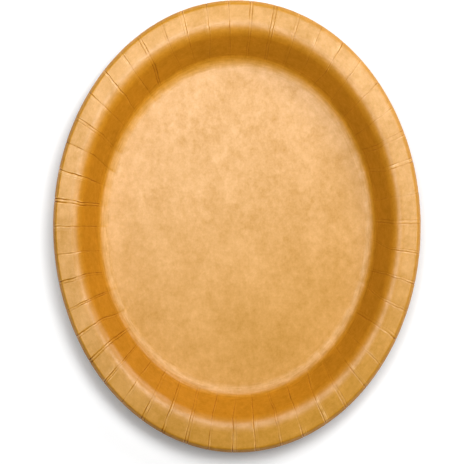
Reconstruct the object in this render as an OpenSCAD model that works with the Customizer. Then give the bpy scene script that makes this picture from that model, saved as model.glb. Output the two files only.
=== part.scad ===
// Oval plate pressed from one flat blank of brown board.
// The origin is the middle of the base's underside, on the table. +Z is up and +Y is the long way.

/* [Plate] */
// Length of the oval from edge to edge
plate_length = 320; // [260:1:380]
// Width of the oval from edge to edge
plate_width = 260; // [220:1:320]
// Height from the table to the top of the rim
plate_height = 22; // [18:0.5:30]
// Thickness of the pressed board
board = 0.5; // [0.3:0.05:1]

/* [Wall, as cut across the width] */
// Angle between the wall and the table
wall_angle = 55; // [45:1:68]
// Radius of the bend from the base up into the wall
foot_radius = 12.5; // [6:0.5:16]
// Radius of the bend from the wall out into the rim
shoulder_radius = 11; // [5:0.5:12]

/* [Rim, as cut across the width] */
// Width of the rim's band, from the shoulder to the lip
band_width = 8.5; // [6:0.5:18]
// Angle by which the band falls towards the lip
band_fall = 6; // [1:0.5:12]
// Radius of the bend from the band down into the lip
lip_radius = 2; // [1.2:0.1:4]
// Angle by which the lip is turned down from level
lip_angle = 56; // [45:1:80]
// Straight length of the lip below its bend
lip_length = 2.4; // [0.5:0.1:4]

/* [Pleats] */
// Number of pleats round the wall and the rim
pleat_count = 48; // [24:1:60]
// Width of a pleat's groove at the lip
pleat_width = 1.8; // [1:0.1:4]
// Depth of a pleat's groove in the rim
pleat_depth = 0.35; // [0.1:0.05:0.6]
// Angle from +X to the first pleat, before the oval is stretched
pleat_start = 1.6; // [0:0.1:7.5]

/* [Hidden] */

// Chords in each bend of the section
foot_steps = 4;
shoulder_steps = 3;
lip_steps = 3;

// The section follows the middle of the board, half a thickness inside each outer size.
// It is drawn across the width, and the oval is a round plate stretched along its length.
half_board = board / 2;
edge_r = (plate_width - board) / 2;
stretch = (plate_length - board) / (plate_width - board);
crest_z = plate_height - half_board;

// The wall climbs what the two bends leave.
bend_rise = (foot_radius + shoulder_radius) * (1 - cos(wall_angle));
wall_length = (crest_z - half_board - bend_rise) / sin(wall_angle);

// The centres of the bends, worked inwards from the edge and down from the crest
lip_r = edge_r - lip_length * cos(lip_angle) - lip_radius * sin(lip_angle);
crest_r = lip_r + (lip_radius - shoulder_radius) * sin(band_fall) - band_width * cos(band_fall);
foot_r = crest_r - (shoulder_radius + foot_radius) * sin(wall_angle) - wall_length * cos(wall_angle);
band_drop = (shoulder_radius - lip_radius) * (1 - cos(band_fall)) + band_width * sin(band_fall);
lip_z = crest_z - band_drop - lip_radius;

// Points along a bend, each [distance from the middle, height, slope, share of the pleat's depth].
// side is 1 where the bend is hollow, seen from above, and -1 where it is a crest.
function bend(angles, side, radius, centre_r, centre_z, share) = [
    for (slope = angles)
        [centre_r + side * radius * sin(slope), centre_z - side * radius * cos(slope), slope, share]
];

// Slopes from one angle to another in equal steps
function slopes(from, to, steps) = [for (i = [0 : steps]) from + (to - from) * i / steps];

// The pleats start from nothing at the wall's foot, and are deepest from its top to the lip's edge.
section = concat(
    bend(slopes(0, wall_angle, foot_steps), 1, foot_radius, foot_r, half_board + foot_radius, 0),
    bend(slopes(wall_angle, 0, shoulder_steps), -1, shoulder_radius, crest_r, crest_z - shoulder_radius, 1),
    bend([-band_fall], -1, shoulder_radius, crest_r, crest_z - shoulder_radius, 1),
    bend(slopes(-band_fall, -lip_angle, lip_steps), -1, lip_radius, lip_r, lip_z, 1),
    [[
        edge_r,
        lip_z + lip_radius * cos(lip_angle) - lip_length * sin(lip_angle),
        -lip_angle,
        1
    ]]
);

// Places round the oval, each [angle, share of the pleat's depth]: the two shoulders of a groove,
// its bottom between them, and the middle of the flat panel that follows
pitch = 360 / pleat_count;
groove = pleat_width / edge_r * 180 / PI;
stations = [
    for (k = [0 : pleat_count - 1], place = [[-groove / 2, 0], [0, 1], [groove / 2, 0], [pitch / 2, 0]])
        [pleat_start + k * pitch + place[0], place[1]]
];

// A point of the board's upper face (side 1) or lower face (side -1). A groove moves both faces
// alike, so that the board keeps its thickness through it.
function face_point(along, station, side) =
    let (
        angle = station[0],
        slope = along[2],
        square = [-sin(slope) * cos(angle), -sin(slope) * sin(angle) / stretch, cos(slope)],
        lift = side * half_board - pleat_depth * along[3] * station[1]
    )
    [along[0] * cos(angle), along[0] * stretch * sin(angle), along[1]] + lift * square / norm(square);

// The rings go out over the upper face to the lip's edge, and back under the lower face.
module plate() {
    last = len(section) - 1;
    around = len(stations);
    rings = concat(
        [for (i = [0 : last]) [for (s = stations) face_point(section[i], s, 1)]],
        [for (i = [last : -1 : 0]) [for (s = stations) face_point(section[i], s, -1)]]
    );
    final = len(rings) - 1;
    color("#EDB672")
    polyhedron(
        points = [for (ring = rings) each ring],
        faces = concat(
            [[for (j = [around - 1 : -1 : 0]) j]],
            [for (i = [0 : final - 1], j = [0 : around - 1])
                let (a = i * around + j, b = i * around + (j + 1) % around)
                each [[a, b, b + around], [a, b + around, a + around]]
            ],
            [[for (j = [0 : around - 1]) final * around + j]]
        )
    );
}

plate();
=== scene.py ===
# Oval plate pressed from brown kraft board, seen from straight above on a white table.
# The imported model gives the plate's place and size. This script gives it folds, finish, floor and light.

import math
import bpy
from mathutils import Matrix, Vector


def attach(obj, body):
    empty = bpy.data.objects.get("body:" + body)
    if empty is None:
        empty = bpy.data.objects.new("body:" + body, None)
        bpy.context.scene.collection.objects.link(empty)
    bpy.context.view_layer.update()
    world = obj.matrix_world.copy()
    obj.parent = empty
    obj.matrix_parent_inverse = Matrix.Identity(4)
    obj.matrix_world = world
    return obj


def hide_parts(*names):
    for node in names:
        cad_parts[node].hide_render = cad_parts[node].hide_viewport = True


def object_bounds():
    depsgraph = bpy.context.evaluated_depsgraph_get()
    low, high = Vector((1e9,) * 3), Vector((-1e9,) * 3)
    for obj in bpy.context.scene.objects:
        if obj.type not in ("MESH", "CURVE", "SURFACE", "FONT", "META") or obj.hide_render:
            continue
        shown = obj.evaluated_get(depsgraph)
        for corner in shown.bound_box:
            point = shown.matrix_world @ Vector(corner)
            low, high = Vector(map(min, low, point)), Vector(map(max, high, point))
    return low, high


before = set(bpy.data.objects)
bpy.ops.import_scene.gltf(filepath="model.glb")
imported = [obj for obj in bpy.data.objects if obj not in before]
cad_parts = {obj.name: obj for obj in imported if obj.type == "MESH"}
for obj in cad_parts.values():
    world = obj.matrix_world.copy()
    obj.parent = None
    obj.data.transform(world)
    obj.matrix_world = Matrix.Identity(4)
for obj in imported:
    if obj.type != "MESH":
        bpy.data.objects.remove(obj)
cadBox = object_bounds()
print("frame loaded, box", cadBox)


# Short helpers for placing and joining nodes

def socketOf(node, name):
    if isinstance(name, int):
        return node.inputs[name]
    return next(socket for socket in node.inputs if socket.name == name and socket.enabled)


def put(tree, kind, inputs=None, **settings):
    node = tree.nodes.new(kind)
    for name, value in settings.items():
        setattr(node, name, value)
    for name, value in (inputs or {}).items():
        socket = socketOf(node, name)
        if isinstance(value, bpy.types.NodeSocket):
            tree.links.new(value, socket)
        else:
            socket.default_value = value
    return node


def calc(tree, operation, *values):
    return put(tree, "ShaderNodeMath", dict(enumerate(values)), operation=operation).outputs[0]


def plus(tree, total, *others):
    for value in others:
        total = calc(tree, "ADD", total, value)
    return total


def minus(tree, value, taken):
    return calc(tree, "SUBTRACT", value, taken)


def times(tree, product, *others):
    for value in others:
        product = calc(tree, "MULTIPLY", product, value)
    return product


def timesPlus(tree, value, factor, added):
    return calc(tree, "MULTIPLY_ADD", value, factor, added)


def over(tree, value, divisor):
    return calc(tree, "DIVIDE", value, divisor)


def wholeParts(tree, number, size):
    # How many times size goes into a whole number
    return calc(tree, "FLOOR", over(tree, plus(tree, number, 0.5), size))


def remap(tree, value, fromLow, fromHigh, toLow=0.0, toHigh=1.0, kind="SMOOTHSTEP"):
    inputs = {0: value, 1: fromLow, 2: fromHigh, 3: toLow, 4: toHigh}
    return put(tree, "ShaderNodeMapRange", inputs, interpolation_type=kind).outputs[0]


def between(tree, factor, a, b):
    return put(tree, "ShaderNodeMix", {"Factor": factor, "A": a, "B": b}).outputs[0]


def blend(tree, factor, a, b, kind="MIX"):
    inputs = {"Factor": factor, "A": a, "B": b}
    return put(tree, "ShaderNodeMix", inputs, data_type="RGBA", blend_type=kind).outputs[2]


def vector(tree, x, y, z):
    return put(tree, "ShaderNodeCombineXYZ", {0: x, 1: y, 2: z}).outputs[0]


def parts(tree, spot):
    return put(tree, "ShaderNodeSeparateXYZ", {0: spot}).outputs


def vectorCalc(tree, operation, *values):
    return put(tree, "ShaderNodeVectorMath", dict(enumerate(values)), operation=operation).outputs[0]


def scaled(tree, spot, factor):
    return put(tree, "ShaderNodeVectorMath", {0: spot, "Scale": factor}, operation="SCALE").outputs[0]


def turned(tree, spot, degrees):
    return put(tree, "ShaderNodeVectorRotate", {"Vector": spot, "Angle": math.radians(degrees)}).outputs[0]


def noise(tree, spot, scale=1.0, detail=1.0, rough=0.5):
    inputs = {"Vector": spot, "Scale": scale, "Detail": detail, "Roughness": rough}
    return put(tree, "ShaderNodeTexNoise", inputs).outputs["Fac"]


def newGroup(name, kind, inputs, outputs):
    tree = bpy.data.node_groups.new(name, kind)
    for direction, rows in (("INPUT", inputs), ("OUTPUT", outputs)):
        for socket, socketKind in rows:
            tree.interface.new_socket(socket, in_out=direction, socket_type="NodeSocket" + socketKind)
    return tree, tree.nodes.new("NodeGroupInput").outputs


def setInputs(modifier, values):
    for item in modifier.node_group.interface.items_tree:
        if item.item_type == "SOCKET" and item.in_out == "INPUT" and item.name in values:
            modifier[item.identifier] = values[item.name]


# The plate's section, as cut across its width

plateSize = {
    "board": 0.0005,        # thickness of the pressed board
    "wallAngle": 55,        # degrees from the table
    "footRadius": 0.016,    # gentle start of the bend from the base up into the wall
    "heelAngle": 20,        # slope at which that bend tightens
    "heelRadius": 0.007,
    "shoulderRadius": 0.010,
    "bandWidth": 0.0085,    # flat of the rim
    "bandFall": 6,          # degrees that the rim falls outwards
    "lipRadius": 0.002,
    "lipAngle": 56,
    "lipLength": 0.0024,
    "proud": 0.00009,       # room kept inside the frame's box for the ridges beside the folds
    "headroom": 0.00016,    # and above the rim, where they stand highest
}

# Chords in each stretch of the section
sectionSteps = {
    "base": 5, "foot": 5, "heel": 6, "wall": 9, "shoulder": 12, "band": 6, "lipBend": 8, "lip": 2,
}

# Changes along the section: where each starts and ends, in metres from one of the bends, and its two levels
ramps = {
    "grown": ("Wall At", -0.005, "Wall At", 0.002, 0.0, 1.0),           # the folds deepen
    "lipGain": ("Lip At", -0.002, "Lip At", 0.002, 1.0, 1.7),           # and again on the lip
    "crown": ("Shoulder At", 0.0, "Shoulder At", 0.004, 0.35, 1.0),     # the ridges stand up
    "onRim": ("Shoulder At", 0.0, "Shoulder At", 0.004, 0.0, 1.0),
    "started": ("Foot At", 0.0, "Foot At", 0.005, 0.0, 1.0),            # the panels leave the round
    "rise": ("Foot At", 0.002, "Wall At", 0.001, 0.0, 1.0),             # the wall's painted shade and duller coat come
    "fall": ("Shoulder At", -0.001, "Shoulder At", 0.012, 0.0, 1.0),    # and go
    "lip": ("Lip At", -0.0005, "Lip At", 0.0020, 0.0, 1.0),
    "drawn": ("Foot At", -0.001, "Foot At", 0.006, 0.0, 1.0),           # the satin is drawn thinner
    "wrinkleStart": ("Foot At", -0.004, "Foot At", 0.005, 0.0, 1.0),
    "wrinkleEnd": ("Wall At", 0.0, "Wall At", 0.005, 1.0, 0.25),
}


def ramp(tree, along, marks, name):
    startMark, startBy, endMark, endBy, low, high = ramps[name]
    ends = []
    for mark, by in ((marks[startMark], startBy), (marks[endMark], endBy)):
        isSocket = isinstance(mark, bpy.types.NodeSocket)
        ends.append(plus(tree, mark, by) if isSocket else mark + by)
    return remap(tree, along, *ends, low, high)


def bendPoints(centre, radius, fromSlope, toSlope, steps):
    side = radius if toSlope > fromSlope else -radius
    slopes = (math.radians(fromSlope + (toSlope - fromSlope) * i / steps) for i in range(1, steps + 1))
    return [(centre[0] + side * math.sin(slope), centre[1] - side * math.cos(slope)) for slope in slopes]


def linePoints(start, end, steps):
    return [tuple(a + (b - a) * i / steps for a, b in zip(start, end)) for i in range(1, steps + 1)]


def plateSection(size, steps, box):
    wall, heel, fall, lip = (
        math.radians(size[name]) for name in ("wallAngle", "heelAngle", "bandFall", "lipAngle"))
    half = size["board"] / 2
    edge = (box[1][0] - box[0][0]) / 2 - half - size["proud"]
    baseZ = box[0][2] + half
    crestZ = box[1][2] - half - size["headroom"]

    # Centres of the bends, worked inwards from the edge, and the climb that they leave to the wall
    lipR = edge - size["lipLength"] * math.cos(lip) - size["lipRadius"] * math.sin(lip)
    gap = size["lipRadius"] - size["shoulderRadius"]
    bandRun = size["bandWidth"] * math.cos(fall)
    bandDrop = size["bandWidth"] * math.sin(fall)
    crestR = lipR + gap * math.sin(fall) - bandRun
    lipZ = crestZ + gap * (1 - math.cos(fall)) - bandDrop - size["lipRadius"]
    tighter = size["footRadius"] - size["heelRadius"]
    bends = size["heelRadius"] + size["shoulderRadius"]
    climb = crestZ - baseZ - bends * (1 - math.cos(wall)) - tighter * (1 - math.cos(heel))
    run = climb / math.tan(wall)
    footR = crestR - bends * math.sin(wall) - tighter * math.sin(heel) - run
    foot = (footR, baseZ + size["footRadius"])
    heelCentre = (foot[0] + tighter * math.sin(heel), foot[1] - tighter * math.cos(heel))
    shoulder = (crestR, crestZ - size["shoulderRadius"])

    points = [(0, baseZ)]
    points += linePoints(points[-1], (footR, baseZ), steps["base"])
    points += bendPoints(foot, size["footRadius"], 0, size["heelAngle"], steps["foot"])
    points += bendPoints(heelCentre, size["heelRadius"], size["heelAngle"], size["wallAngle"], steps["heel"])
    r, z = points[-1]
    points += linePoints((r, z), (r + run, z + climb), steps["wall"])
    points += bendPoints(
        shoulder, size["shoulderRadius"], size["wallAngle"], -size["bandFall"], steps["shoulder"])
    r, z = points[-1]
    points += linePoints((r, z), (r + bandRun, z - bandDrop), steps["band"])
    points += bendPoints(
        (lipR, lipZ), size["lipRadius"], -size["bandFall"], -size["lipAngle"], steps["lipBend"])
    r, z = points[-1]
    points += linePoints((r, z), (edge, z - size["lipLength"] * math.sin(lip)), steps["lip"])

    # How far along the section each part starts, from the middle of the plate
    marks = {"Foot At": footR}
    marks["Wall At"] = marks["Foot At"] + size["heelRadius"] * wall + tighter * heel
    marks["Shoulder At"] = marks["Wall At"] + math.hypot(run, climb)
    marks["Lip At"] = marks["Shoulder At"] + size["shoulderRadius"] * (wall + fall) + size["bandWidth"]
    return points, marks, edge


def sectionCurve(points):
    curve = bpy.data.curves.new("plateSection", "CURVE")
    curve.dimensions = "3D"
    spline = curve.splines.new("POLY")
    spline.points.add(len(points) - 1)
    for point, (r, z) in zip(spline.points, points):
        point.co = (r, 0, z, 1)
    section = bpy.data.objects.new("plateSection", curve)
    bpy.context.collection.objects.link(section)
    return section


# The pleats: where each one runs, and its shape across

pleatSettings = {
    "Pleats": 48,
    "First Pleat": math.radians(0.45),
    "Swing": math.radians(1.95),     # how far the pleats are drawn to one side of the oval
    "Swing From": math.radians(75),
    "Uneven": 0.35,          # how much firmer the folds are pressed on one side of the oval
    "Firm Side": math.radians(205),
    "Groove": 0.0009,        # width of a fold's crease
    "Strip": 0.0019,         # usual width of the board doubled under between a fold's two creases
    "Depth": 0.00022,
    "Tilt": 0.00010,         # how far a panel's edge laps over the next on the rim
    "Foot Tilt": 0.00030,    # and at the wall's foot
    "Facet": 0.00010,        # how far a panel's middle stands off the round
    "Stray": 0.0007,         # how far a pleat may sit from its even place
    "Lean": 0.28,            # how far a pleat may lean on the wall, as a slope
    "Waver": 0.0006,
    "Panel Tone": 0.05,      # how far a panel's tone may lie from the sheet's
    "Seed": 7,
}

# Each row is one place across a pleat and the panel after it:
# groove widths, strip widths, share of the panel, depth of the first crease, depth of the second,
# height of the ridge before, height of the ridge after, share of the panel before
pleatPlaces = [
    (-1.40, 0.0, 0, 0.00, 0.0, 0.0, 0.0, 1.0),
    (-0.75, 0.0, 0, 0.00, 0.0, 1.0, 0.0, 0.8),
    (-0.30, 0.0, 0, -0.45, 0.0, 0.2, 0.0, 0.6),
    (0.00, 0.0, 0, -1.00, 0.0, 0.0, 0.0, 0.5),
    (0.30, 0.0, 0, -0.40, 0.0, 0.0, 0.3, 0.0),
    (0.75, 0.0, 0, 0.00, 0.0, 0.0, 1.0, 0.0),
    (0.00, 0.5, 0, 0.00, 0.0, 0.0, 0.2, 0.0),
    (-0.70, 1.0, 0, 0.00, 0.0, 0.0, 0.7, 0.0),
    (-0.25, 1.0, 0, 0.00, -0.5, 0.0, 0.2, 0.0),
    (0.00, 1.0, 0, 0.00, -1.0, 0.0, 0.0, 0.0),
    (0.25, 1.0, 0, 0.00, -0.4, 0.0, 0.0, 0.0),
    (0.75, 1.0, 0, 0.00, 0.0, 0.4, 0.0, 0.0),
    (1.40, 1.0, 0, 0.00, 0.0, 0.0, 0.0, 0.0),
    (1.40, 1.0, 1 / 4, 0.00, 0.0, 0.0, 0.0, 0.0),
    (1.40, 1.0, 2 / 4, 0.00, 0.0, 0.0, 0.0, 0.0),
    (1.40, 1.0, 3 / 4, 0.00, 0.0, 0.0, 0.0, 0.0),
]

# What chance sets for each pleat: the draw's number after the seed, and its range
draws = {
    "stray": (1, -1.0, 1.0),
    "lean": (2, 0.0, 1.0),
    "leanSide": (3, -1.0, 1.6),     # more lean one way than the other
    "strip": (4, 0.75, 1.5),        # any narrower and the strip's two creases would cross
    "strength": (5, 0.5, 1.2),
    "doubled": (6, 0.0, 1.0),
    "tilt": (7, -0.5, 1.0),
    "tone": (8, -1.0, 1.0),
    "leading": (9, 0.0, 1.0),
    "trailing": (10, 0.2, 1.2),
}

# Noises that wander along a pleat: step in the noise from pleat to pleat, waves to the metre, and height
wanders = {
    "sway": (3.71, 110.0, 0.5),
    "patchy": (5.13, 130.0, 9.5),
    "ridgeWander": (7.31, 160.0, 3.5),
}

foldShape = {
    "leanPower": 2.0,        # most pleats lean little
    "waverGain": 3.0,
    "doubledPower": 1.3,
    "patchy": (0.33, 0.62, 0.35, 1.2),    # two levels of the noise, and the strengths they give
    "ridgeWander": (0.36, 0.60, 0.0, 1.6),
    "ridgeHeight": 0.4,      # height of a ridge to the depth of its crease
    "panelFrom": 0.1,        # share of the panel at which its own tone starts
    "sharp": math.radians(40),            # the board's cut edge and the deepest creases are sharper
    "weld": 1e-6,
}


def pick(tree, index, values):
    node = put(tree, "GeometryNodeIndexSwitch", {"Index": index}, data_type="FLOAT")
    while len(node.index_switch_items) < len(values):
        node.index_switch_items.new()
    for i, value in enumerate(values):
        node.inputs[i + 1].default_value = value
    return node.outputs[0]


def chance(tree, name, pleat, seed):
    number, low, high = draws[name]
    inputs = {"Min": low, "Max": high, "ID": pleat, "Seed": plus(tree, seed, number)}
    return put(tree, "FunctionNodeRandomValue", inputs).outputs["Value"]


def wander(tree, name, pleat, along):
    step, waves, height = wanders[name]
    return noise(tree, vector(tree, times(tree, pleat, step), times(tree, along, waves), height))


def swayTree():
    # How far a pleat's line has strayed from its even place, at a point along the section
    floats = ("Pleat", "Along", "Stray", "Lean", "Waver", "Foot At", "Shoulder At")
    inputs = [(name, "Float") for name in floats] + [("Seed", "Int")]
    tree, given = newGroup("pleatSway", "GeometryNodeTree", inputs, [("Sway", "Float")])
    pleat, seed = given["Pleat"], given["Seed"]
    stray = times(tree, chance(tree, "stray", pleat, seed), given["Stray"])
    slope = calc(tree, "POWER", chance(tree, "lean", pleat, seed), foldShape["leanPower"])
    side = calc(tree, "SIGN", chance(tree, "leanSide", pleat, seed))
    low = calc(tree, "MAXIMUM", given["Along"], given["Foot At"])
    below = calc(tree, "MAXIMUM", minus(tree, given["Shoulder At"], low), 0.0)
    lean = times(tree, slope, given["Lean"], side, below)
    waver = minus(tree, wander(tree, "sway", pleat, given["Along"]), 0.5)
    waver = times(tree, waver, given["Waver"], foldShape["waverGain"])
    put(tree, "NodeGroupOutput", {"Sway": plus(tree, stray, lean, waver)})
    return tree


def plateTree():
    inputs = [(name, "Int" if name in ("Pleats", "Seed") else "Float") for name in pleatSettings]
    floats = ("Edge", "Stretch", "Board", "Foot At", "Wall At", "Shoulder At", "Lip At")
    inputs += [(name, "Float") for name in floats]
    inputs += [("Section", "Object"), ("Material", "Material")]
    tree, given = newGroup("pressedPlate", "GeometryNodeTree", inputs, [("Geometry", "Geometry")])
    pleats, seed = given["Pleats"], given["Seed"]
    places = float(len(pleatPlaces))

    # A sheet of points: columns go round the plate, rows go out over the top face and back under it
    curve = put(tree, "GeometryNodeObjectInfo", {"Object": given["Section"]}).outputs["Geometry"]
    size = put(tree, "GeometryNodeAttributeDomainSize", {"Geometry": curve}, component="CURVE")
    rings = size.outputs["Point Count"]
    rows = times(tree, rings, 2.0)
    columns = timesPlus(tree, pleats, places, 1.0)
    mesh = put(tree, "GeometryNodeMeshGrid", {"Vertices X": columns, "Vertices Y": rows}).outputs["Mesh"]
    index = tree.nodes.new("GeometryNodeInputIndex").outputs[0]
    column = wholeParts(tree, index, rows)
    row = minus(tree, index, times(tree, column, rows))
    isUnder = calc(tree, "GREATER_THAN", row, minus(tree, rings, 0.5))
    ring = calc(tree, "MINIMUM", row, minus(tree, minus(tree, rows, 1.0), row))
    pleatNumber = wholeParts(tree, column, places)
    place = minus(tree, column, times(tree, pleatNumber, places))

    # The section at this ring: place, direction and distance along it
    def atRing(kind, source, output=0):
        inputs = {"Geometry": curve, "Value": tree.nodes.new(source).outputs[output], "Index": ring}
        return put(tree, "GeometryNodeSampleIndex", inputs, data_type=kind).outputs[0]

    spot = parts(tree, atRing("FLOAT_VECTOR", "GeometryNodeInputPosition"))
    ahead = parts(tree, atRing("FLOAT_VECTOR", "GeometryNodeInputTangent"))
    along = atRing("FLOAT", "GeometryNodeSplineParameter", "Length")

    # This pleat's line, and the next one's, where the panel between them ends
    pleat = calc(tree, "MODULO", pleatNumber, pleats)
    nextPleat = calc(tree, "MODULO", plus(tree, pleatNumber, 1.0), pleats)
    lastPleat = calc(tree, "MODULO", plus(tree, pleatNumber, minus(tree, pleats, 1.0)), pleats)
    sway = swayTree()
    inputs = {name: given[name] for name in ("Stray", "Lean", "Waver", "Foot At", "Shoulder At", "Seed")}
    thisSway, nextSway = (
        put(tree, "GeometryNodeGroup", dict(inputs, Along=along, Pleat=number), node_tree=sway).outputs[0]
        for number in (pleat, nextPleat))

    # How far round the oval this point lies
    strip = times(tree, chance(tree, "strip", pleat, seed), given["Strip"])
    grooves, strips, share, first, second, ridgeBefore, ridgeAfter, before = (
        pick(tree, place, values) for values in zip(*pleatPlaces))
    folded = plus(tree, times(tree, grooves, given["Groove"]), times(tree, strips, strip))
    perMetre = over(tree, 2.0, times(tree, given["Edge"], plus(tree, given["Stretch"], 1.0)))
    pitch = over(tree, 2 * math.pi, pleats)
    folds = timesPlus(tree, given["Groove"], pleatPlaces[-1][0] - pleatPlaces[0][0], strip)
    panel = minus(tree, over(tree, pitch, perMetre), folds)
    panel = plus(tree, panel, minus(tree, nextSway, thisSway))
    across = plus(tree, folded, times(tree, share, panel), thisSway)
    even = timesPlus(tree, pleatNumber, pitch, timesPlus(tree, across, perMetre, given["First Pleat"]))
    swing = calc(tree, "COSINE", minus(tree, even, given["Swing From"]))
    angle = timesPlus(tree, swing, given["Swing"], even)

    # Height of the fold at this point
    grown = ramp(tree, along, given, "grown")
    lipGain = ramp(tree, along, given, "lipGain")
    patchy = remap(tree, wander(tree, "patchy", pleat, along), *foldShape["patchy"], "LINEAR")
    firm = calc(tree, "COSINE", minus(tree, angle, given["Firm Side"]))
    firm = timesPlus(tree, firm, given["Uneven"], 1.0)
    strength = times(tree, grown, lipGain, patchy, chance(tree, "strength", pleat, seed), firm)
    doubled = calc(tree, "POWER", chance(tree, "doubled", pleat, seed), foldShape["doubledPower"])
    creases = times(tree, timesPlus(tree, second, doubled, first), strength)
    leading = times(tree, ridgeBefore, chance(tree, "leading", pleat, seed))
    trailing = times(tree, ridgeAfter, chance(tree, "trailing", pleat, seed))
    ridgeWander = remap(tree, wander(tree, "ridgeWander", pleat, along), *foldShape["ridgeWander"], "LINEAR")
    ridgeWander = times(tree, ridgeWander, ramp(tree, along, given, "crown"), strength)
    ridges = times(tree, plus(tree, leading, trailing), ridgeWander)
    fold = times(tree, timesPlus(tree, ridges, foldShape["ridgeHeight"], creases), given["Depth"])

    # Each panel lies at a slight slant, so its edge laps over the next, and bulges a little below the rim
    thisTilt, lastTilt = (chance(tree, "tilt", number, seed) for number in (pleat, lastPleat))
    slant = times(tree, thisTilt, minus(tree, share, 0.5))
    slant = between(tree, before, slant, times(tree, lastTilt, 0.5))
    onRim = ramp(tree, along, given, "onRim")
    started = ramp(tree, along, given, "started")
    tilt = between(tree, onRim, given["Foot Tilt"], given["Tilt"])
    slant = times(tree, timesPlus(tree, onRim, -0.5, slant), times(tree, started, tilt))
    bulge = times(tree, share, minus(tree, 1.0, share), 4.0, given["Facet"])
    bulge = times(tree, bulge, times(tree, started, minus(tree, 1.0, onRim)))
    relief = plus(tree, fold, slant, bulge)

    # Wrap the section round the oval, square to the stretched surface, and give the board its thickness
    turnX, turnY = calc(tree, "COSINE", angle), calc(tree, "SINE", angle)
    outward = times(tree, ahead[2], -1.0)
    normalY = over(tree, times(tree, outward, turnY), given["Stretch"])
    normal = vectorCalc(tree, "NORMALIZE", vector(tree, times(tree, outward, turnX), normalY, ahead[0]))
    halfBoard = times(tree, given["Board"], minus(tree, 0.5, isUnder))
    offset = scaled(tree, normal, plus(tree, halfBoard, relief))
    x, y = times(tree, spot[0], turnX), times(tree, spot[0], turnY, given["Stretch"])
    position = vectorCalc(tree, "ADD", vector(tree, x, y, spot[2]), offset)

    panelTone = times(tree, chance(tree, "tone", pleat, seed), given["Panel Tone"])
    inPanel = calc(tree, "GREATER_THAN", share, foldShape["panelFrom"])
    panelTone = times(tree, panelTone, times(tree, grown, inPanel))
    stored = {"along": along, "under": isUnder, "crease": creases, "ridge": ridges, "panel": panelTone}
    bend = tree.nodes.new("GeometryNodeInputMeshEdgeAngle").outputs["Unsigned Angle"]
    inputs = {"A": bend, "B": foldShape["sharp"]}
    sharp = put(tree, "FunctionNodeCompare", inputs, operation="GREATER_THAN").outputs[0]

    # Each step takes the mesh of the one before
    chain = [
        ("GeometryNodeStoreNamedAttribute", {"Name": name, "Value": value}, {"data_type": "FLOAT"})
        for name, value in stored.items()
    ]
    chain += [
        ("GeometryNodeSetPosition", {"Position": position}, {}),
        ("GeometryNodeMergeByDistance", {"Distance": foldShape["weld"]}, {}),
        ("GeometryNodeFlipFaces", {}, {}),
        ("GeometryNodeSetShadeSmooth", {"Shade Smooth": True}, {}),
        ("GeometryNodeSetShadeSmooth", {"Selection": sharp, "Shade Smooth": False}, {"domain": "EDGE"}),
        ("GeometryNodeRealizeInstances", {}, {}),
        ("GeometryNodeSetMaterial", {"Material": given["Material"]}, {}),
    ]
    for kind, inputs, settings in chain:
        mesh = put(tree, kind, {0: mesh, **inputs}, **settings).outputs[0]
    put(tree, "NodeGroupOutput", {"Geometry": mesh})
    return tree


def makePlate(points, marks, edge, stretch):
    section = sectionCurve(points)
    holder = bpy.data.objects.new("plateHolder", bpy.data.meshes.new("plateHolder"))
    bpy.context.collection.objects.link(holder)
    modifier = holder.modifiers.new("pressedPlate", "NODES")
    modifier.node_group = plateTree()
    setInputs(modifier, dict(pleatSettings, **marks, **{
        "Section": section, "Edge": edge, "Stretch": stretch, "Board": plateSize["board"],
        "Material": kraftMaterial(marks, stretch),
    }))
    shape = holder.evaluated_get(bpy.context.evaluated_depsgraph_get())
    plate = bpy.data.objects.new("kraftPlate", bpy.data.meshes.new_from_object(shape))
    bpy.context.collection.objects.link(plate)
    bpy.data.objects.remove(holder)
    bpy.data.objects.remove(section)
    return plate


# Finish

kraftSettings = {
    "board": (0.50, 0.229, 0.014),
    "contrast": 0.098,               # how far tone moves the colour
    "mottleSize": 0.040,             # metres, the largest clouds in the sheet
    "grainSize": 0.0034,             # and the smallest lumps
    "fleckSize": 0.0035,
    "fibreLength": 0.0022,
    "wallShadeTint": (0.82, 0.67, 0.24, 1),  # painted shade: the wall darker and deeper in colour, as it lies in shade on its slope; the lip a little less green and blue
    "lipTint": (1.03, 0.96, 0.75, 1),
    # painted shade in the creases
    "creaseShadeTint": (0.64, 0.49, 0.20, 1),
    "ridgeHighlightTint": (1.32, 1.55, 6.0, 1),  # painted highlight: pale along the ridges beside the creases, where they catch the light
    "fleckTint": (0.60, 0.48, 0.36, 1),
    "fleck": 0.4,
    "back": (0.38, 0.185, 0.035),    # uncoated underside and cut edge
    "backFrom": (0.3, 0.9),          # where the back takes over from the face, round the cut edge
    "sheen": 0.58,                   # weight of the satin coat
    "sheenMottle": 0.33,             # how far tone moves the coat
    "ridgeSheen": 0.8,
    "creaseDull": 0.55,
    "wallDull": 0.3,                 # the coat is thinner where the sheet was drawn, and on the lip
    "lipDull": 0.2,
    "coatRoughness": 0.35,
    "coatIor": 1.78,
    "roughness": 0.8,
    "specular": 0.1,
    "wrinkleLength": 0.009,          # painted shade and light of wrinkles, which run round the foot of the wall
    "wrinkleWidth": 0.0009,
    "wrinkle": 1.0,
    "bump": 0.3,
    "bumpHeight": 0.00004,
}

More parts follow.
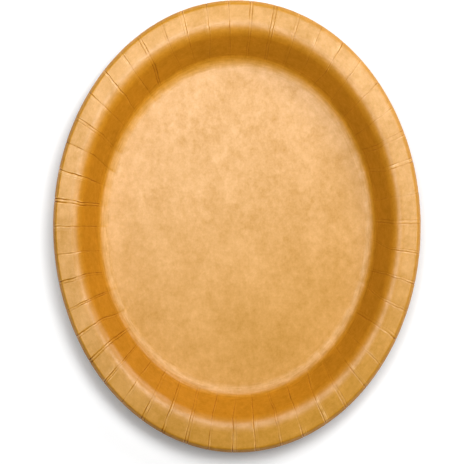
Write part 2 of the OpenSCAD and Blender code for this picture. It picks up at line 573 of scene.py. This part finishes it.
pulpSettings = {
    "away": (0.731, 0.417, 0.253),   # all noises share a point at the origin, so they are read away from it
    "longer": (1.0, 0.82, 1.0),      # clouds are a little longer than wide
    "mottle": (5.0, 1.0),            # detail and roughness
    "mottleGain": 6.5,
    "grain": (1.0, 0.6),
    "grainGain": 1.6,
    "fibreTurns": (12, 71, -48),     # degrees
    "fibreDrawn": (1.0, 0.11, 1.0),
    "fibreSlim": 9.0,                # length to width
    "fibreApart": 0.3,
    "fibreLevels": (0.52, 0.78),
    "fibreMean": 0.2,
    "fibreTone": 0.8,
    "fibreRelief": 0.5,
    "mottleRelief": 0.1,
    "fleckTurn": 24,
    "fleckDrawn": (2.6, 1.0, 2.6),   # flecks are longer than wide
    "fleckReach": (0.82, 1.0, 0.0, 0.2),  # about one cell in six has a fleck
    "fleckLeast": 0.02,
    "broken": (0.36, 0.62, 0.5, 1.2),
    "wrinkleRound": 0.1,             # metres, mean radius of the wall's foot
    "wrinkleGain": 4.0,
}


def textureTree():
    # Tone and height of pulp board: mottle from clouds down to specks, fibres on the face,
    # flecks of bark, and a breaking-up of any line drawn on it
    pulp = pulpSettings
    inputs = [("Vector", "Vector")]
    inputs += [(name, "Float") for name in ("Mottle Size", "Grain Size", "Fleck Size", "Fibre Length")]
    outputs = [(name, "Float") for name in ("Tone", "Fleck", "Height", "Broken")]
    tree, given = newGroup("pulpBoard", "ShaderNodeTree", inputs, outputs)

    def sizedNoise(place, size, detail, rough=0.5):
        return noise(tree, place, over(tree, 1.0, size), detail, rough)

    spot = vectorCalc(tree, "ADD", given["Vector"], pulp["away"])
    longer = vectorCalc(tree, "MULTIPLY", spot, pulp["longer"])
    clouds = minus(tree, sizedNoise(longer, given["Mottle Size"], *pulp["mottle"]), 0.5)
    grain = minus(tree, sizedNoise(longer, given["Grain Size"], *pulp["grain"]), 0.5)
    mottle = timesPlus(tree, grain, pulp["grainGain"], times(tree, clouds, pulp["mottleGain"]))

    # Fibres lie in three directions, each a noise drawn out to their length
    width = over(tree, given["Fibre Length"], pulp["fibreSlim"])
    lines = []
    for number, turn in enumerate(pulp["fibreTurns"]):
        drawn = vectorCalc(tree, "MULTIPLY", turned(tree, spot, turn), pulp["fibreDrawn"])
        moved = vectorCalc(tree, "ADD", drawn, (pulp["fibreApart"] * number, 0, 0))
        lines.append(sizedNoise(moved, width, 1.0))
    fibre = calc(tree, "MAXIMUM", calc(tree, "MAXIMUM", lines[0], lines[1]), lines[2])
    fibre = remap(tree, fibre, *pulp["fibreLevels"])

    # Sparse dark flecks of bark
    cells = vectorCalc(tree, "MULTIPLY", turned(tree, spot, pulp["fleckTurn"]), pulp["fleckDrawn"])
    inputs = {"Vector": cells, "Scale": over(tree, 1.0, given["Fleck Size"])}
    dots = put(tree, "ShaderNodeTexVoronoi", inputs).outputs
    chosen = put(tree, "ShaderNodeSeparateColor", {0: dots["Color"]}).outputs[0]
    reach = remap(tree, chosen, *pulp["fleckReach"], "LINEAR")
    fleck = remap(tree, dots["Distance"], 0.0, plus(tree, reach, 0.001), 1.0, 0.0)
    fleck = times(tree, fleck, calc(tree, "GREATER_THAN", reach, pulp["fleckLeast"]))

    tone = timesPlus(tree, minus(tree, fibre, pulp["fibreMean"]), pulp["fibreTone"], mottle)
    height = timesPlus(tree, mottle, pulp["mottleRelief"], times(tree, fibre, pulp["fibreRelief"]))
    broken = remap(tree, sizedNoise(spot, given["Fibre Length"], 1.0), *pulp["broken"], "LINEAR")
    put(tree, "NodeGroupOutput", {"Tone": tone, "Fleck": fleck, "Height": height, "Broken": broken})
    return tree


def wrinkleTree():
    # Painted shade and light of fine wrinkles that run round the oval where the sheet was drawn over the foot
    # of the wall, as darker and paler streaks
    floats = ("Along", "Foot At", "Wall At", "Stretch", "Length", "Width")
    inputs = [("Vector", "Vector")] + [(name, "Float") for name in floats]
    tree, given = newGroup("drawnWrinkles", "ShaderNodeTree", inputs, [("Wrinkle", "Float")])
    place = parts(tree, given["Vector"])
    flat = vector(tree, place[0], over(tree, place[1], given["Stretch"]), 0.0)
    turns = over(tree, pulpSettings["wrinkleRound"], given["Length"])
    around = scaled(tree, vectorCalc(tree, "NORMALIZE", flat), turns)
    out = vector(tree, 0.0, 0.0, over(tree, given["Along"], given["Width"]))
    line = minus(tree, noise(tree, vectorCalc(tree, "ADD", around, out)), 0.5)
    line = times(tree, line, pulpSettings["wrinkleGain"])
    start, end = (ramp(tree, given["Along"], given, name) for name in ("wrinkleStart", "wrinkleEnd"))
    put(tree, "NodeGroupOutput", {"Wrinkle": times(tree, line, times(tree, start, end))})
    return tree


def kraftMaterial(marks, stretch):
    kraft = kraftSettings
    material = bpy.data.materials.new("kraftBoard")
    material.use_nodes = True
    tree = material.node_tree
    shader = tree.nodes["Principled BSDF"]
    spot = tree.nodes.new("ShaderNodeTexCoord").outputs["Object"]
    texture = put(tree, "ShaderNodeGroup", {
        "Vector": spot, "Mottle Size": kraft["mottleSize"], "Grain Size": kraft["grainSize"],
        "Fleck Size": kraft["fleckSize"], "Fibre Length": kraft["fibreLength"],
    }, node_tree=textureTree()).outputs
    along, under, crease, ridge, panel = (
        put(tree, "ShaderNodeAttribute", attribute_name=name).outputs["Fac"]
        for name in ("along", "under", "crease", "ridge", "panel"))
    wrinkle = put(tree, "ShaderNodeGroup", {
        "Vector": spot, "Along": along, "Foot At": marks["Foot At"], "Wall At": marks["Wall At"],
        "Stretch": stretch, "Length": kraft["wrinkleLength"], "Width": kraft["wrinkleWidth"],
    }, node_tree=wrinkleTree()).outputs[0]

    # Tone of the board, with a small step from panel to panel. Tones from -2 to 2 run from deep to pale.
    # the wrinkles add painted shade and light as darker and paler streaks
    tone = timesPlus(tree, wrinkle, kraft["wrinkle"], plus(tree, texture["Tone"], panel))
    level = timesPlus(tree, tone, 0.25, 0.5)
    reach = kraft["contrast"] * 2

    def mottled(colour):
        deep, pale = (tuple(c * share for c in colour) + (1,) for share in (1 - reach, 1 + reach))
        return blend(tree, level, deep, pale)

    # Painted shade darkens and deepens the wall, as it lies in shade on its slope, and the lip is tinted a
    # little less green and blue.
    # Creases are darkened with painted shade and the ridges beside them paled with painted highlights, both
    # in broken lines.
    rise, fall, lip, drawn = (ramp(tree, along, marks, name) for name in ("rise", "fall", "lip", "drawn"))
    wall = minus(tree, rise, fall)
    # painted shade in the creases, which also dulls the coat there
    creaseShadeMask = times(tree, crease, -1.0, texture["Broken"])
    # painted highlight along the ridges, which also raises the coat there
    ridgeHighlightMask = times(tree, ridge, texture["Broken"])
    fleck = times(tree, texture["Fleck"], kraft["fleck"])
    colour = mottled(kraft["board"])
    tints = {"wallShadeTint": wall, "lipTint": lip, "creaseShadeTint": creaseShadeMask, "ridgeHighlightTint": ridgeHighlightMask, "fleckTint": fleck}
    for name, amount in tints.items():
        colour = blend(tree, amount, colour, kraft[name], "MULTIPLY")

    # Bare board on the underside and at the cut edge
    bare = remap(tree, under, *kraft["backFrom"])
    colour = blend(tree, bare, colour, mottled(kraft["back"]))
    tree.links.new(colour, shader.inputs["Base Color"])

    # A satin coat on the face, brighter on the ridges and duller in the creases and where it was drawn
    sheen = timesPlus(tree, tone, kraft["sheenMottle"], 1.0)
    sheen = timesPlus(tree, ridgeHighlightMask, kraft["ridgeSheen"], sheen)
    sheen = minus(tree, sheen, times(tree, creaseShadeMask, kraft["creaseDull"]))
    drawn = plus(tree, minus(tree, drawn, fall), wall)
    dull = plus(tree, times(tree, drawn, kraft["wallDull"]), times(tree, lip, kraft["lipDull"]))
    dull = calc(tree, "MAXIMUM", bare, dull)
    sheen = times(tree, sheen, kraft["sheen"], minus(tree, 1.0, dull))
    tree.links.new(sheen, shader.inputs["Coat Weight"])
    shader.inputs["Coat Roughness"].default_value = kraft["coatRoughness"]
    shader.inputs["Coat IOR"].default_value = kraft["coatIor"]
    shader.inputs["Roughness"].default_value = kraft["roughness"]
    shader.inputs["Specular IOR Level"].default_value = kraft["specular"]
    inputs = {"Strength": kraft["bump"], "Distance": kraft["bumpHeight"], "Height": texture["Height"]}
    tree.links.new(put(tree, "ShaderNodeBump", inputs).outputs[0], shader.inputs["Normal"])
    return material


# Floor, light and camera

stageSettings = {
    "floor": 0.95,
    "floorRoughness": 0.9,
    "floorSpecular": 0.1,
    "floorLift": 0.10,       # glow that only the camera sees, to bring the table to white
    "floorReach": 3.0,
    "floorGap": 0.0001,      # so that the table and the plate's underside don't lie in one plane
    "cameraAway": 2.2,
    "pixelSize": 0.7046,     # millimetres of rim to one pixel of the photo
    "photoPixels": 464,
    "plateCentre": (236.9, 226.4),     # pixels from the photo's left and top edges
}

# Each lamp faces the middle of the plate: place, size and watts
lampSettings = {
    "farBox": ((0.90, 1.35, 0.90), 0.42, 5.9),
    "rightBox": ((1.35, 0.90, 0.90), 0.42, 6.7),
    "cornerBox": ((0.90, 0.90, 0.90), 0.42, 2.4),
    "keyBox": ((0.27, 0.27, 0.90), 0.42, 2.6),
    "sideBox": ((0.54, 0.0, 0.90), 0.42, 2.4),
    "leftBox": ((-0.27, 0.0, 0.90), 0.42, 2.1),
    "backBox": ((-0.27, -0.27, 0.90), 0.42, 0.25),
    "nearBox": ((0.0, 0.15, 0.50), 0.26, 0.82),
    "lowLeft": ((-0.13, 0.13, 0.35), 0.20, 0.30),
    "lowBox": ((0.0, 0.07, 0.35), 0.20, 0.13),
}


def makeFloor():
    mesh = bpy.data.meshes.new("floor")
    reach, low = stageSettings["floorReach"], -stageSettings["floorGap"]
    corners = [(-reach, -reach, low), (reach, -reach, low), (reach, reach, low), (-reach, reach, low)]
    mesh.from_pydata(corners, [], [(0, 1, 2, 3)])
    floor = bpy.data.objects.new("floor", mesh)
    bpy.context.collection.objects.link(floor)
    material = bpy.data.materials.new("whiteTable")
    material.use_nodes = True
    tree = material.node_tree
    shader = tree.nodes["Principled BSDF"]
    shade = stageSettings["floor"]
    shader.inputs["Base Color"].default_value = (shade, shade, shade, 1)
    shader.inputs["Roughness"].default_value = stageSettings["floorRoughness"]
    shader.inputs["Specular IOR Level"].default_value = stageSettings["floorSpecular"]
    seen = tree.nodes.new("ShaderNodeLightPath").outputs["Is Camera Ray"]
    lift = times(tree, seen, stageSettings["floorLift"])
    glow = put(tree, "ShaderNodeEmission", {"Strength": lift}).outputs[0]
    both = put(tree, "ShaderNodeAddShader", {0: shader.outputs[0], 1: glow}).outputs[0]
    tree.links.new(both, tree.nodes["Material Output"].inputs[0])
    mesh.materials.append(material)


def makeWorld():
    # White to the camera, and no light on the plate
    world = bpy.data.worlds.new("studio")
    world.use_nodes = True
    bpy.context.scene.world = world
    tree = world.node_tree
    seen = tree.nodes.new("ShaderNodeLightPath").outputs["Is Camera Ray"]
    tree.links.new(seen, tree.nodes["Background"].inputs["Strength"])
    tree.nodes["Background"].inputs["Color"].default_value = (1, 1, 1, 1)


def makeLamps():
    for name, (place, wide, watts) in lampSettings.items():
        light = bpy.data.lights.new(name, "AREA")
        light.size = wide
        light.energy = watts
        lamp = bpy.data.objects.new(name, light)
        lamp.location = place
        lamp.rotation_euler = (-Vector(place)).to_track_quat("-Z", "Y").to_euler()
        bpy.context.collection.objects.link(lamp)


def makeCamera():
    camera = bpy.data.cameras.new("overhead")
    pixel = stageSettings["pixelSize"] / 1000
    half = stageSettings["photoPixels"] / 2
    camera.lens = camera.sensor_width * stageSettings["cameraAway"] / (2 * half * pixel)
    eye = bpy.data.objects.new("overhead", camera)
    x, y = stageSettings["plateCentre"]
    eye.location = ((half - x) * pixel, (y - half) * pixel, stageSettings["cameraAway"] + cadBox[1][2])
    bpy.context.collection.objects.link(eye)
    bpy.context.scene.camera = eye


section, marks, edge = plateSection(plateSize, sectionSteps, cadBox)
stretch = (cadBox[1][1] - cadBox[0][1]) / (cadBox[1][0] - cadBox[0][0])
plate = makePlate(section, marks, edge, stretch)
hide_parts("plate")
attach(plate, "root")
print("plate made,", len(plate.data.polygons), "faces")

makeFloor()
makeWorld()
makeLamps()
makeCamera()
bpy.context.scene.view_settings.view_transform = "Standard"
print("floor, light and camera placed")
